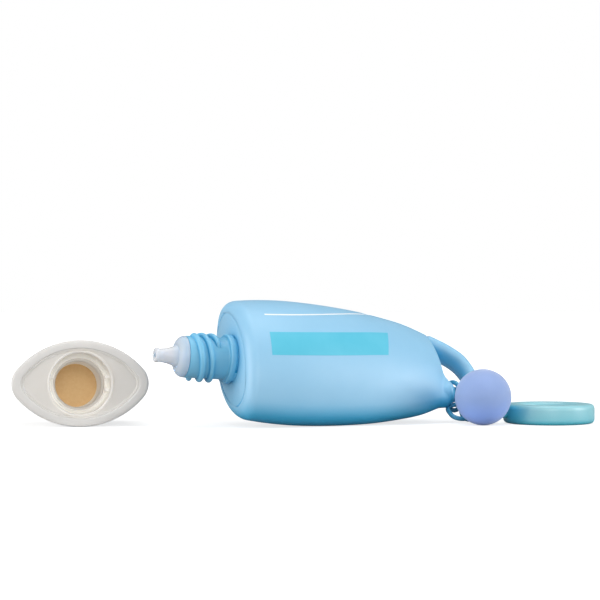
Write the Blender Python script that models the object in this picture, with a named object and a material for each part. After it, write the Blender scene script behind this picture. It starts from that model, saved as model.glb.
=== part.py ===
# Travel lotion bottle lying on its side, its two-piece screw cap standing beside it,
# and a chain of four links, a ball and a ring on its loop handle. Metres, +Z up.
import math
import bmesh
import bpy
import numpy as np
from mathutils import Matrix, Vector

# Clearances
GAP = 0.0003
OVERRUN = 0.0004

# How the pieces lie: the bottle leans on one flank, tail low and away from the viewer
BOTTLE_YAW = math.radians(22.1)
BOTTLE_PITCH = math.radians(3.6)
BOTTLE_ROLL = math.radians(42.6)
BOTTLE_AT = (-0.02606, -0.01228, 0.02411)
CAP_YAW = math.radians(11)
CAP_DRAFT = math.radians(4)
CAP_AT = (-0.07975, -0.01698, 0.01557)

# Body: lens-shaped sections, half sizes at the neck end, and their shares along the length
BODY_LENGTH = 0.0821
BODY_HALF_WIDTH = 0.0250
BODY_HALF_DEPTH = 0.0169
BODY_WALL = 0.0011
FACE_WALL = 0.0014
TAIL_BLOCK = 0.0070
FACE_FILLET = 0.0042
TAIL_FILLET = 0.0020
TIP_SHARE = 0.52
LENGTH_SHARES = (0, 0.125, 0.25, 0.375, 0.5, 0.627, 0.752, 0.877, 0.972, 1)
WIDTH_SHARES = (1, 1.056, 1.082, 1.075, 1.048, 1.002, 0.925, 0.813, 0.690, 0.660)
DEPTH_SHARES = (1, 1.050, 1.058, 1.028, 0.970, 0.888, 0.767, 0.604, 0.424, 0.320)
PANEL_HALF_WIDTH = 0.0196
PANEL_HALF_DEPTH = 0.0126
PANEL_TIP_RADIUS = 0.0092
PANEL_GROOVE_WIDTH = 0.0005
PANEL_GROOVE_DEPTH = 0.00025

# Neck finish: collar, two-start thread and the lug that stops the cap
NECK_BORE_RADIUS = 0.0055
NECK_RADIUS = 0.0075
NECK_HEIGHT = 0.0178
NECK_EDGE = 0.0003
STUB_RADIUS = 0.0080
COLLAR_RADIUS = 0.0089
COLLAR_BOTTOM = 0.0008
COLLAR_TOP = 0.0029
THREAD_RADIUS = 0.0089
THREAD_LEAD = 0.0071
THREAD_BASE = 0.0020
THREAD_CREST = 0.0009
THREAD_START = 0.0076
THREAD_TURNS = 1.22
THREAD_STARTS = 2
THREAD_START_ANGLE = math.radians(-104)
THREAD_RUN_OUT = math.radians(35)
LUG_LENGTH = 0.0045
LUG_ANGLE = math.radians(180)

# Loop handle: centre line past the tail, as shares of its reach and of its span
LOOP_REACH = 0.0120
LOOP_SPAN = 0.0245
LOOP_LOW = 0.0118
LOOP_RADIUS = 0.0028
LOOP_REACH_SHARES = (-0.289, 0.085, 0.437, 0.806, 0.994, 1.083, 0.92, 0.578, 0.333, 0.21, 0.084, -0.338)
LOOP_SPAN_SHARES = (1.044, 0.943, 0.840, 0.687, 0.532, 0.331, 0.135, 0.022, 0.003, 0, 0, 0)
LOOP_RADIUS_SHARES = (1.15, 1.1, 1.03, 1, 1, 1, 1, 1, 1, 1.03, 1.18, 1.4)
LOOP_DEPTH_SHARES = (1.72, 1.68, 1.64, 1.61, 1.52, 1.36, 1.16, 1.04, 1.02, 1.10, 1.38, 1.6)

# Dropper plug pressed into the neck
FLANGE_RADIUS = 0.0074
FLANGE_TOP = 0.0213
FLANGE_ROUND = 0.0029
CONE_BASE_RADIUS = 0.0040
TIP_RADIUS = 0.0025
TIP_NECK_RADIUS = 0.0024
TIP_HEIGHT = 0.0288
TIP_ROUND = 0.0006
ORIFICE_RADIUS = 0.0009
CHANNEL_RADIUS = 0.0036
STEM_DEPTH = 0.0090
STEM_SLACK = 0.0004
BEAD_HEIGHT = 0.0004

# Cap shell: lens-shaped sections that narrow towards the closed end
CAP_HALF_WIDTH = 0.0248
CAP_HALF_DEPTH = 0.0156
CAP_TIP_RADIUS = 0.0080
CAP_DEPTH = 0.0320
CAP_WALL = 0.0016
CAP_END = 0.0015
CAP_END_ROUND = 0.0012
CAP_LIP_ROUND = 0.0012
RIM_WIDTH = 0.0036
RIM_DEPTH = 0.0031
LEDGE_DEPTH = 0.0043
LEDGE_THICKNESS = 0.0015
LEDGE_REACH = 0.0017

# Cap insert: front panel, raised boss and the socket that screws onto the neck
PANEL_THICKNESS = 0.0015
BOSS_RADIUS = 0.0117
BOSS_BORE_RADIUS = 0.0110
BOSS_SET_BACK = 0.0004
BOSS_ROUND = 0.0003
MOAT_DEPTH = 0.0130
THREAD_SLACK = 0.0002
SOCKET_LIP = 0.0007
SOCKET_MOUTH = 0.0085
SOCKET_WALL = 0.0012
SOCKET_DEPTH = 0.0290
KEY_WIDTH = 0.0014
KEY_HEIGHT = 0.0030
KEY_ANGLES = (math.radians(-12), math.radians(14), math.radians(166))
LINER_THICKNESS = 0.0008
LINER_SLACK = 0.0009

# Chain links: each one's place as shares of the pitch from the one before, and its turn
LINK_WIRE = 0.0017
LINK_PLAY = 0.0004
LINK_STRETCH = 0.0024
LINK_PLACE_SHARES = ((0.0077, -0.0121, -0.0698), (0.2253, -0.5845, -0.6173), (0.4863, -0.0947, 0.2366),
                     (0.6477, -0.291, -0.0608))
LINK_TURNS = ((-1.628, 1.308, -0.987), (0.114, 0.454, -1.221), (1.689, -0.805, 0.499),
              (1.507, 0.592, -0.657))
LOOP_HANG_SHARE = 0.727

# Ball and ring charms, each with a moulded eye
BALL_RADIUS = 0.0102
BALL_GAP = 0.00067
BALL_EYE_RADIUS = 0.0018
BALL_EYE_WIRE = 0.0012
BALL_BEARING = math.radians(-111.5)
BALL_EYE_SHARE = -0.2
RING_RADIUS = 0.01675
RING_BORE_RADIUS = 0.01055
RING_THICKNESS = 0.0072
RING_ROUND = 0.0020
RING_EYE_RADIUS = 0.0026
RING_EYE_WIRE = 0.0014
RING_EYE_STAND = 0.0028
RING_EYE_ANGLE = math.radians(5)
RING_BEARING = math.radians(13)

# Facets
TIP_STEPS = 4
FLANK_STEPS = 8
AROUND = 4 * (TIP_STEPS + FLANK_STEPS)
FLANK_RINGS = 13
INNER_RINGS = 5
FILLET_STEPS = 4
THREAD_STEPS = 22
LOOP_STEPS = 30
LOOP_SIDES = 16
PLUG_SIDES = 28
LINK_ARC_STEPS = 9
LINK_SIDES = 8
RING_SIDES = 40
BALL_SIDES = 28
EYE_STEPS = 16
EYE_SIDES = 8


def clear_scene():
    for old in list(bpy.data.objects):
        bpy.data.objects.remove(old, do_unlink=True)


def plastic(name, color, roughness):
    made = bpy.data.materials.new(name)
    made.use_nodes = True
    shader = made.node_tree.nodes["Principled BSDF"]
    shader.inputs["Base Color"].default_value = (*color, 1)
    shader.inputs["Roughness"].default_value = roughness
    shader.inputs["Metallic"].default_value = 0
    made.diffuse_color = (*color, 1)
    return made


def frame(name, location, columns):
    made = bpy.data.objects.new(name, None)
    bpy.context.collection.objects.link(made)
    turn = Matrix(columns).transposed().to_4x4()
    made.matrix_world = Matrix.Translation(location) @ turn
    return made


def solid(name, bm, material, parent=None):
    """A finished object from a bmesh: normals out, smooth with sharp edges kept."""
    bmesh.ops.recalc_face_normals(bm, faces=bm.faces)
    mesh = bpy.data.meshes.new(name)
    bm.to_mesh(mesh)
    bm.free()
    mesh.shade_smooth()
    mesh.set_sharp_from_angle(angle=math.radians(35))
    made = bpy.data.objects.new(name, mesh)
    bpy.context.collection.objects.link(made)
    if material:
        made.data.materials.append(material)
    if parent:
        made.parent = parent
    return made


def add_union(target, tool):
    tool.hide_render = True
    tool.display_type = "WIRE"
    union = target.modifiers.new(tool.name, "BOOLEAN")
    union.operation = "UNION"
    union.solver = "EXACT"
    union.object = tool


def loft(bm, rings, around_too=False):
    """Skin rings of points; the ends are filled, or joined to each other."""
    rows = [[bm.verts.new(point) for point in ring] for ring in rings]
    pairs = list(zip(rows, rows[1:]))
    if around_too:
        pairs.append((rows[-1], rows[0]))
    else:
        bm.faces.new(rows[0][::-1])
        bm.faces.new(rows[-1])
    for low, high in pairs:
        for k in range(len(low)):
            j = (k + 1) % len(low)
            bm.faces.new((low[k], low[j], high[j], high[k]))


def lens(half_width, half_depth, tip_radius):
    """Outline of two flank arcs and two rounded tips, from the +X tip round."""
    rise = half_depth - tip_radius
    reach = half_width - tip_radius
    flank_radius = (reach ** 2 + half_depth ** 2 - tip_radius ** 2) / (2 * rise)
    drop = flank_radius - half_depth
    turn = math.pi / 2 - math.atan2(reach, drop)
    quarter = []
    for k in range(TIP_STEPS):
        angle = turn * k / TIP_STEPS
        quarter.append((reach + tip_radius * math.cos(angle), tip_radius * math.sin(angle)))
    for k in range(FLANK_STEPS):
        angle = turn + (math.pi / 2 - turn) * k / FLANK_STEPS
        quarter.append((flank_radius * math.cos(angle), flank_radius * math.sin(angle) - drop))
    top = (0, half_depth)
    left = [(-x, y) for x, y in quarter[:0:-1]] + [(-half_width, 0)]
    upper = quarter + [top] + left
    lower = [(x, -y) for x, y in upper[-2:0:-1]]
    return upper + lower


def circle(radius, sides):
    turns = [2 * math.pi * k / sides for k in range(sides)]
    return [(radius * math.cos(turn), radius * math.sin(turn)) for turn in turns]


def level(outline, height):
    return [Vector((x, y, height)) for x, y in outline]


def smooth(places, values, at):
    """Curve through the stations, with the slope at each from its neighbours."""
    slopes = np.gradient(values, places)
    k = int(np.clip(np.searchsorted(places, at) - 1, 0, len(places) - 2))
    step = places[k + 1] - places[k]
    t = (at - places[k]) / step
    start = (1 + 2 * t) * (1 - t) ** 2 * values[k] + t * (1 - t) ** 2 * step * slopes[k]
    end = t * t * (3 - 2 * t) * values[k + 1] + t * t * (t - 1) * step * slopes[k + 1]
    return float(start + end)


def fillet_steps(radius, steps):
    """Set-back and inset of a quarter round, from the face to the flank."""
    turns = [math.pi / 2 * k / steps for k in range(steps + 1)]
    return [(radius * (1 - math.cos(t)), radius * (1 - math.sin(t))) for t in turns]


def sweep(bm, centres, across, halves, depths, sides):
    """Oval bar along a flat path; across is the direction square to the path's plane."""
    rings = []
    for k, centre in enumerate(centres):
        ahead = centres[min(k + 1, len(centres) - 1)] - centres[max(k - 1, 0)]
        inward = across.cross(ahead).normalized()
        ring = circle(1, sides)
        rings.append([centre + inward * x * halves[k] + across * y * depths[k] for x, y in ring])
    loft(bm, rings)


def hoop(bm, centre, first, second, radius, wire_radius, steps, sides):
    """Closed round eye in the plane of two unit directions."""
    normal = first.cross(second)
    rings = []
    for k in range(steps):
        turn = 2 * math.pi * k / steps
        out = first * math.cos(turn) + second * math.sin(turn)
        section = circle(wire_radius, sides)
        rings.append([centre + out * (radius + x) + normal * y for x, y in section])
    loft(bm, rings, around_too=True)


def body_section(at, inset):
    """Lens outline of the body at a distance from its neck end."""
    share = at / BODY_LENGTH
    width = BODY_HALF_WIDTH * smooth(LENGTH_SHARES, WIDTH_SHARES, share)
    depth = BODY_HALF_DEPTH * smooth(LENGTH_SHARES, DEPTH_SHARES, share)
    return lens(width - inset, depth - inset, depth * TIP_SHARE - inset)


def inner_rings():
    """Hollow of the body from its blind tail to the mouth of the neck."""
    inner_fillet = FACE_FILLET - BODY_WALL
    near = FACE_WALL + inner_fillet
    far = BODY_LENGTH - TAIL_BLOCK
    rings = [level(body_section(far, BODY_WALL + TAIL_FILLET), -far)]
    for k in range(INNER_RINGS + 1):
        at = far - TAIL_FILLET + (near - far + TAIL_FILLET) * k / INNER_RINGS
        rings.append(level(body_section(at, BODY_WALL), -at))
    for set_back, inset in fillet_steps(inner_fillet, FILLET_STEPS)[-2::-1]:
        at = FACE_WALL + set_back
        rings.append(level(body_section(at, BODY_WALL + inset), -at))
    bore = circle(NECK_BORE_RADIUS, AROUND)
    rings.append(level(bore, -FACE_WALL))
    rings.append(level(bore, NECK_HEIGHT - NECK_EDGE))
    rings.append(level(circle(NECK_BORE_RADIUS + NECK_EDGE, AROUND), NECK_HEIGHT))
    return rings


def neck_rings():
    """Outside of the neck from the lip down to the end face."""
    steps = [(NECK_RADIUS - NECK_EDGE, NECK_HEIGHT), (NECK_RADIUS, NECK_HEIGHT - NECK_EDGE),
             (NECK_RADIUS, COLLAR_TOP), (COLLAR_RADIUS - NECK_EDGE, COLLAR_TOP),
             (COLLAR_RADIUS, COLLAR_TOP - NECK_EDGE), (COLLAR_RADIUS, COLLAR_BOTTOM + NECK_EDGE),
             (COLLAR_RADIUS - NECK_EDGE, COLLAR_BOTTOM), (STUB_RADIUS, COLLAR_BOTTOM),
             (STUB_RADIUS, NECK_EDGE), (STUB_RADIUS + NECK_EDGE, 0)]
    return [level(circle(radius, AROUND), height) for radius, height in steps]


def face_rings():
    """End face with its fine groove, then the rounded edge."""
    half = PANEL_GROOVE_WIDTH / 2
    deep = -PANEL_GROOVE_DEPTH
    rings = []
    for grow, height in ((-half, 0), (-half, deep), (half, deep), (half, 0)):
        outline = lens(PANEL_HALF_WIDTH + grow, PANEL_HALF_DEPTH + grow, PANEL_TIP_RADIUS + grow)
        rings.append(level(outline, height))
    for set_back, inset in fillet_steps(FACE_FILLET, FILLET_STEPS):
        rings.append(level(body_section(set_back, inset), -set_back))
    return rings


def flank_rings():
    """Outside of the body from the rounded edge to the tail."""
    far = BODY_LENGTH - TAIL_FILLET
    rings = []
    for k in range(1, FLANK_RINGS + 1):
        at = FACE_FILLET + (far - FACE_FILLET) * k / FLANK_RINGS
        rings.append(level(body_section(at, 0), -at))
    for set_back, inset in fillet_steps(TAIL_FILLET, FILLET_STEPS)[-2::-1]:
        at = BODY_LENGTH - set_back
        rings.append(level(body_section(at, inset), -at))
    return rings


def thread_ridge(bm, start_angle):
    """One start of the ridge round the neck, running out at both ends."""
    rings = []
    total = 2 * math.pi * THREAD_TURNS
    sunk = NECK_RADIUS - OVERRUN
    low = sunk + OVERRUN / 2
    up = Vector((0, 0, 1))
    for k in range(THREAD_STEPS + 1):
        turn = total * k / THREAD_STEPS
        fade = min(1, turn / THREAD_RUN_OUT, (total - turn) / THREAD_RUN_OUT)
        full = math.sin(fade * math.pi / 2)
        crest = low + (THREAD_RADIUS - low) * full
        height = THREAD_START + THREAD_LEAD * turn / (2 * math.pi)
        out = Vector((math.cos(start_angle + turn), math.sin(start_angle + turn), 0))
        base = (THREAD_CREST + (THREAD_BASE - THREAD_CREST) * full) / 2
        top = THREAD_CREST * (1 + full) / 4
        section = ((sunk, -base), (crest, -top), (crest, top), (sunk, base))
        rings.append([out * radius + up * (height + rise) for radius, rise in section])
    loft(bm, rings)


def thread_ridges(bm):
    for number in range(THREAD_STARTS):
        thread_ridge(bm, THREAD_START_ANGLE + 2 * math.pi * number / THREAD_STARTS)


def stop_lug(bm):
    """Block between the collar and the end face that stops the cap."""
    inner = STUB_RADIUS - OVERRUN
    outer = COLLAR_RADIUS - NECK_EDGE
    half = LUG_LENGTH / (2 * COLLAR_RADIUS)
    high = COLLAR_BOTTOM + OVERRUN
    section = ((inner, -OVERRUN), (outer, -OVERRUN), (outer, high), (inner, high))
    rings = []
    for turn in (LUG_ANGLE - half, LUG_ANGLE, LUG_ANGLE + half):
        out = Vector((math.cos(turn), math.sin(turn), 0))
        rings.append([out * radius + Vector((0, 0, height)) for radius, height in section])
    loft(bm, rings)


def loop_point(place):
    """Centre of the loop handle at a share of its points."""
    stations = np.linspace(0, 1, len(LOOP_REACH_SHARES))
    along = BODY_LENGTH + LOOP_REACH * smooth(stations, LOOP_REACH_SHARES, place)
    across = LOOP_SPAN * smooth(stations, LOOP_SPAN_SHARES, place) - LOOP_LOW
    return Vector((across, 0, -along))


def loop_bar(bm):
    stations = np.linspace(0, 1, len(LOOP_REACH_SHARES))
    places = [k / LOOP_STEPS for k in range(LOOP_STEPS + 1)]
    centres = [loop_point(place) for place in places]
    halves = [LOOP_RADIUS * smooth(stations, LOOP_RADIUS_SHARES, place) for place in places]
    depths = [LOOP_RADIUS * smooth(stations, LOOP_DEPTH_SHARES, place) for place in places]
    sweep(bm, centres, Vector((0, 1, 0)), halves, depths, LOOP_SIDES)


def make_bottle(bottle):
    bm = bmesh.new()
    loft(bm, inner_rings() + neck_rings() + face_rings() + flank_rings())
    body = solid("bottle_body", bm, plastic("sky_blue_plastic", (0.36, 0.63, 0.82), 0.42), bottle)
    for name, build in (("thread", thread_ridges), ("stop", stop_lug), ("loop", loop_bar)):
        bm = bmesh.new()
        build(bm)
        add_union(body, solid(name, bm, None, bottle))


def make_plug(bottle):
    stem = NECK_BORE_RADIUS - STEM_SLACK - BEAD_HEIGHT
    seat = NECK_HEIGHT + GAP
    foot = seat - STEM_DEPTH
    cone = TIP_HEIGHT - FLANGE_TOP
    outer = [(stem, foot), (stem, foot + BEAD_HEIGHT * 2), (stem + BEAD_HEIGHT, foot + BEAD_HEIGHT * 4),
             (stem, foot + BEAD_HEIGHT * 6), (stem, seat), (FLANGE_RADIUS, seat),
             (FLANGE_RADIUS, FLANGE_TOP - FLANGE_ROUND)]
    for set_back, inset in fillet_steps(FLANGE_ROUND, 4)[-2::-1]:
        outer.append((FLANGE_RADIUS - inset, FLANGE_TOP - set_back))
    for k in range(7):
        share = k / 6
        flare = (1 - share) ** 2
        outer.append((TIP_NECK_RADIUS + (CONE_BASE_RADIUS - TIP_NECK_RADIUS) * flare,
                      FLANGE_TOP + (cone - TIP_ROUND * 3) * share))
    outer += [(TIP_RADIUS, TIP_HEIGHT - TIP_ROUND * 2), (TIP_RADIUS, TIP_HEIGHT - TIP_ROUND)]
    outer.append(((TIP_RADIUS + ORIFICE_RADIUS) / 2 + TIP_ROUND / 4, TIP_HEIGHT))
    inner = [(ORIFICE_RADIUS, TIP_HEIGHT), (ORIFICE_RADIUS, TIP_HEIGHT - cone / 2), (CHANNEL_RADIUS, foot)]
    rings = [level(circle(radius, PLUG_SIDES), height) for radius, height in outer + inner]
    bm = bmesh.new()
    loft(bm, rings, around_too=True)
    solid("nozzle_plug", bm, plastic("milky_plastic", (0.80, 0.84, 0.88), 0.3), bottle)


def cap_section(depth, inset_width, inset_depth):
    """Lens outline of the cap at a depth behind its rim."""
    draw = depth * math.tan(CAP_DRAFT)
    inset = min(inset_width, inset_depth)
    return lens(CAP_HALF_WIDTH - draw - inset_width, CAP_HALF_DEPTH - draw - inset_depth,
                CAP_TIP_RADIUS - draw - inset)


def make_cap_shell(cap):
    floor = CAP_DEPTH - CAP_END
    under = LEDGE_DEPTH + LEDGE_THICKNESS
    recess = cap_section(0, RIM_WIDTH, RIM_DEPTH)
    mouth = cap_section(0, RIM_WIDTH - NECK_EDGE, RIM_DEPTH - NECK_EDGE)
    ledge = cap_section(0, RIM_WIDTH + LEDGE_REACH, RIM_DEPTH + OVERRUN)
    rings = [level(cap_section(floor, CAP_WALL, CAP_WALL), -floor),
             level(cap_section(under, CAP_WALL, CAP_WALL), -under),
             level(ledge, -under), level(ledge, -LEDGE_DEPTH), level(recess, -LEDGE_DEPTH),
             level(recess, -NECK_EDGE), level(mouth, 0)]
    for set_back, inset in fillet_steps(CAP_LIP_ROUND, 3):
        rings.append(level(cap_section(set_back, inset, inset), -set_back))
    for set_back, inset in fillet_steps(CAP_END_ROUND, 3)[::-1]:
        depth = CAP_DEPTH - set_back
        rings.append(level(cap_section(depth, inset, inset), -depth))
    bm = bmesh.new()
    loft(bm, rings)
    solid("cap_shell", bm, plastic("warm_white_plastic", (0.78, 0.75, 0.70), 0.35), cap)


def make_cap_insert(cap):
    bore = THREAD_RADIUS + THREAD_SLACK
    panel_front = LEDGE_DEPTH - GAP - PANEL_THICKNESS
    panel_back = LEDGE_DEPTH - GAP
    floor_back = SOCKET_DEPTH + SOCKET_WALL
    moat_back = MOAT_DEPTH + SOCKET_WALL
    socket = bore + SOCKET_WALL
    panel = cap_section(0, RIM_WIDTH + GAP, RIM_DEPTH + GAP)
    inside = [(bore, SOCKET_DEPTH), (bore, SOCKET_MOUTH), (bore + SOCKET_LIP, SOCKET_MOUTH),
              (bore + SOCKET_LIP, MOAT_DEPTH), (BOSS_BORE_RADIUS, MOAT_DEPTH),
              (BOSS_BORE_RADIUS, BOSS_SET_BACK + BOSS_ROUND),
              (BOSS_BORE_RADIUS + BOSS_ROUND, BOSS_SET_BACK),
              (BOSS_RADIUS - BOSS_ROUND, BOSS_SET_BACK), (BOSS_RADIUS, BOSS_SET_BACK + BOSS_ROUND),
              (BOSS_RADIUS, panel_front)]
    outside = [(BOSS_RADIUS, panel_back), (BOSS_RADIUS, moat_back),
               (socket, moat_back), (socket, floor_back)]
    rings = [level(circle(radius, AROUND), -depth) for radius, depth in inside]
    rings += [level(panel, -panel_front), level(panel, -panel_back)]
    rings += [level(circle(radius, AROUND), -depth) for radius, depth in outside]
    bm = bmesh.new()
    loft(bm, rings)
    insert = solid("cap_insert", bm, plastic("ivory_plastic", (0.74, 0.71, 0.66), 0.4), cap)
    bm = bmesh.new()
    near = bore + SOCKET_LIP - OVERRUN
    far = BOSS_BORE_RADIUS + OVERRUN
    for angle in KEY_ANGLES:
        out = Vector((math.cos(angle), math.sin(angle), 0))
        side = Vector((-out.y, out.x, 0)) * (KEY_WIDTH / 2)
        rings = []
        for depth in (MOAT_DEPTH + OVERRUN, SOCKET_MOUTH - KEY_HEIGHT):
            down = Vector((0, 0, -depth))
            corners = (out * near - side, out * far - side, out * far + side, out * near + side)
            rings.append([corner + down for corner in corners])
        loft(bm, rings)
    add_union(insert, solid("keys", bm, None, cap))


def make_cap_liner(cap):
    back = SOCKET_DEPTH - GAP
    radius = THREAD_RADIUS + THREAD_SLACK - LINER_SLACK
    steps = ((radius - NECK_EDGE, back), (radius, back - NECK_EDGE),
             (radius, back - LINER_THICKNESS + NECK_EDGE), (radius - NECK_EDGE, back - LINER_THICKNESS))
    bm = bmesh.new()
    loft(bm, [level(circle(size, PLUG_SIDES), -depth) for size, depth in steps])
    solid("cap_liner", bm, plastic("tan_foam", (0.58, 0.37, 0.16), 0.8), cap)


def link_path():
    """Centre line of one link, long way along X."""
    bend = LOOP_RADIUS + LINK_PLAY + LINK_WIRE / 2
    half = LINK_STRETCH / 2
    points = []
    for side in (1, -1):
        for k in range(LINK_ARC_STEPS + 1):
            turn = math.pi * (k / LINK_ARC_STEPS - 1 / 2)
            points.append(Vector((side * (half + bend * math.cos(turn)), side * bend * math.sin(turn), 0)))
    return points


def link_mesh():
    """One welded round-wire link."""
    path = link_path()
    count = len(path)
    rings = []
    for k, point in enumerate(path):
        ahead = (path[(k + 1) % count] - path[k - 1]).normalized()
        out = ahead.cross(Vector((0, 0, 1)))
        section = circle(LINK_WIRE / 2, LINK_SIDES)
        rings.append([point + out * x + Vector((0, 0, y)) for x, y in section])
    bm = bmesh.new()
    loft(bm, rings, around_too=True)
    return bm


def place_links(bottle):
    """World place and turn of each link, from the one before it."""
    pitch = LINK_STRETCH + 2 * (LOOP_RADIUS + LINK_PLAY)
    at = bottle.matrix_world @ loop_point(LOOP_HANG_SHARE)
    places = []
    for shares, turns in zip(LINK_PLACE_SHARES, LINK_TURNS):
        at = at + Vector(shares) * pitch
        turn = Matrix.Rotation(turns[2], 4, "Z") @ Matrix.Rotation(turns[1], 4, "Y")
        places.append(Matrix.Translation(at) @ turn @ Matrix.Rotation(turns[0], 4, "X"))
    return places


def make_links(places):
    material = plastic("teal_plastic", (0.03, 0.24, 0.36), 0.45)
    for number, place in enumerate(places, 1):
        link = solid("chain_link_%d" % number, link_mesh(), material)
        link.matrix_world = place


def make_ball(last_link):
    """Ball that rests on the floor, with an eye round the side of the last link."""
    bend = LOOP_RADIUS + LINK_PLAY + LINK_WIRE / 2
    hook = last_link @ Vector((bend * BALL_EYE_SHARE, bend, 0))
    reach = BALL_RADIUS + BALL_GAP + LINK_WIRE / 2
    level_reach = math.sqrt(reach ** 2 - (BALL_RADIUS - hook.z) ** 2)
    away = Vector((math.cos(BALL_BEARING), math.sin(BALL_BEARING), 0))
    centre = Vector((hook.x, hook.y, 0)) + away * level_reach + Vector((0, 0, BALL_RADIUS))
    bm = bmesh.new()
    bmesh.ops.create_uvsphere(bm, u_segments=BALL_SIDES, v_segments=BALL_SIDES // 2, radius=BALL_RADIUS)
    ball = solid("charm_ball", bm, plastic("lilac_plastic", (0.33, 0.41, 0.72), 0.5))
    ball.location = centre
    wire_line = (last_link.to_3x3() @ Vector((1, 0, 0))).normalized()
    inward = (centre - hook).normalized()
    side = wire_line.cross(inward).normalized()
    inward = side.cross(wire_line)
    bm = bmesh.new()
    hoop(bm, hook, inward, side, BALL_EYE_RADIUS, BALL_EYE_WIRE / 2, EYE_STEPS, EYE_SIDES)
    add_union(ball, solid("ball_eye", bm, None))


def make_ring(last_link):
    """Flat-lying ring with a level eye round the end of the last link."""
    bend = LOOP_RADIUS + LINK_PLAY + LINK_WIRE / 2
    along = LINK_STRETCH / 2 + bend * math.cos(RING_EYE_ANGLE)
    eye = last_link @ Vector((along, bend * math.sin(RING_EYE_ANGLE), 0))
    away = Vector((math.cos(RING_BEARING), math.sin(RING_BEARING), 0))
    centre = Vector((eye.x, eye.y, 0)) + away * (RING_RADIUS + RING_EYE_STAND)
    flat = (RING_RADIUS - RING_BORE_RADIUS) / 2 - RING_ROUND
    tall = RING_THICKNESS / 2 - RING_ROUND
    section = []
    for side, end, start in ((1, 1, 0), (-1, 1, 1), (-1, -1, 2), (1, -1, 3)):
        for k in range(3):
            turn = math.pi / 2 * (start + k / 2)
            section.append((side * flat + RING_ROUND * math.cos(turn),
                            end * tall + RING_ROUND * math.sin(turn)))
    middle = (RING_RADIUS + RING_BORE_RADIUS) / 2
    rings = []
    for k in range(RING_SIDES):
        turn = 2 * math.pi * k / RING_SIDES
        out = Vector((math.cos(turn), math.sin(turn), 0))
        rings.append([out * (middle + x) + Vector((0, 0, RING_THICKNESS / 2 + y)) for x, y in section])
    bm = bmesh.new()
    loft(bm, rings, around_too=True)
    ring = solid("charm_ring", bm, plastic("aqua_plastic", (0.26, 0.56, 0.63), 0.45))
    ring.location = centre
    bm = bmesh.new()
    beside = Vector((0, 0, 1)).cross(away)
    hoop(bm, eye, away, beside, RING_EYE_RADIUS, RING_EYE_WIRE / 2, EYE_STEPS, EYE_SIDES)
    add_union(ring, solid("ring_eye", bm, None))


def bottle_frame():
    """Empty at the neck end face: X across the wide way, Z out along the neck."""
    along = Vector((math.cos(BOTTLE_YAW) * math.cos(BOTTLE_PITCH),
                    math.sin(BOTTLE_YAW) * math.cos(BOTTLE_PITCH), -math.sin(BOTTLE_PITCH)))
    upright = (Vector((0, 0, 1)) + along * math.sin(BOTTLE_PITCH)).normalized()
    away = Vector((-math.sin(BOTTLE_YAW), math.cos(BOTTLE_YAW), 0))
    wide = upright * math.cos(BOTTLE_ROLL) + away * math.sin(BOTTLE_ROLL)
    broad = upright * math.sin(BOTTLE_ROLL) - away * math.cos(BOTTLE_ROLL)
    return frame("bottle_frame", BOTTLE_AT, (wide, -broad, -along))


def cap_frame():
    """Empty at the cap's rim: X across the wide way, Z out of the mouth."""
    out = Vector((math.sin(CAP_YAW) * math.cos(CAP_DRAFT),
                  -math.cos(CAP_YAW) * math.cos(CAP_DRAFT), math.sin(CAP_DRAFT)))
    wide = Vector((math.cos(CAP_YAW), math.sin(CAP_YAW), 0))
    return frame("cap_frame", CAP_AT, (wide, out.cross(wide), out))


def main():
    clear_scene()
    bottle = bottle_frame()
    cap = cap_frame()
    bpy.context.view_layer.update()
    make_bottle(bottle)
    make_plug(bottle)
    make_cap_shell(cap)
    make_cap_insert(cap)
    make_cap_liner(cap)
    places = place_links(bottle)
    make_links(places)
    make_ball(places[-1])
    make_ring(places[-1])


main()
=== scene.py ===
# A travel lotion bottle lying open on a pale table, its screw cap beside it and its
# chain of charms behind the tail. Everything is in metres, +Z up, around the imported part.
import math

import bmesh
import bpy
import numpy as np
from mathutils import Matrix, Vector
from mathutils.bvhtree import BVHTree


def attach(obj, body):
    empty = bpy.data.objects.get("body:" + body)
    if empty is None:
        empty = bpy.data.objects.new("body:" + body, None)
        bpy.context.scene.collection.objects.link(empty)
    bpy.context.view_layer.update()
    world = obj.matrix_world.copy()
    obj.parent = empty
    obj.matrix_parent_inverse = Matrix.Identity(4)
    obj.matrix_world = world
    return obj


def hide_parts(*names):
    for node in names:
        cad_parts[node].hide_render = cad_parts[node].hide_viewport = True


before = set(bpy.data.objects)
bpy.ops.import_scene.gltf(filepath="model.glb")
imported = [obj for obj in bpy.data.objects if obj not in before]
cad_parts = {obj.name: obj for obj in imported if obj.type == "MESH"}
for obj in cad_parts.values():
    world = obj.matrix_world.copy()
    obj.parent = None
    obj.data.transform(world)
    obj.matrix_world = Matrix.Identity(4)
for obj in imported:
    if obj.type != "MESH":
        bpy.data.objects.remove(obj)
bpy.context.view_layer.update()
print("frame loaded,", len(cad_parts), "nodes")


# camera, at the height and the distance the picture was taken from
cameraPlace = {"location": (-0.00115, -0.69228, 0.0454), "focal": 113.34, "sensor": 36.0}


def placeCamera(place):
    lens = bpy.data.cameras.new("pictureCamera")
    lens.lens = place["focal"]
    lens.sensor_width = place["sensor"]
    camera = bpy.data.objects.new("pictureCamera", lens)
    camera.location = place["location"]
    camera.rotation_euler = (math.radians(90), 0, 0)
    bpy.context.scene.collection.objects.link(camera)
    bpy.context.scene.camera = camera


placeCamera(cameraPlace)
print("camera placed")


# node helpers
def addNode(tree, kind, place, inputs=None, **settings):
    node = tree.nodes.new(kind)
    node.location = place
    for name, value in settings.items():
        setattr(node, name, value)
    for name, value in (inputs or {}).items():
        pick(node.inputs, name).default_value = value
    return node


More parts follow.
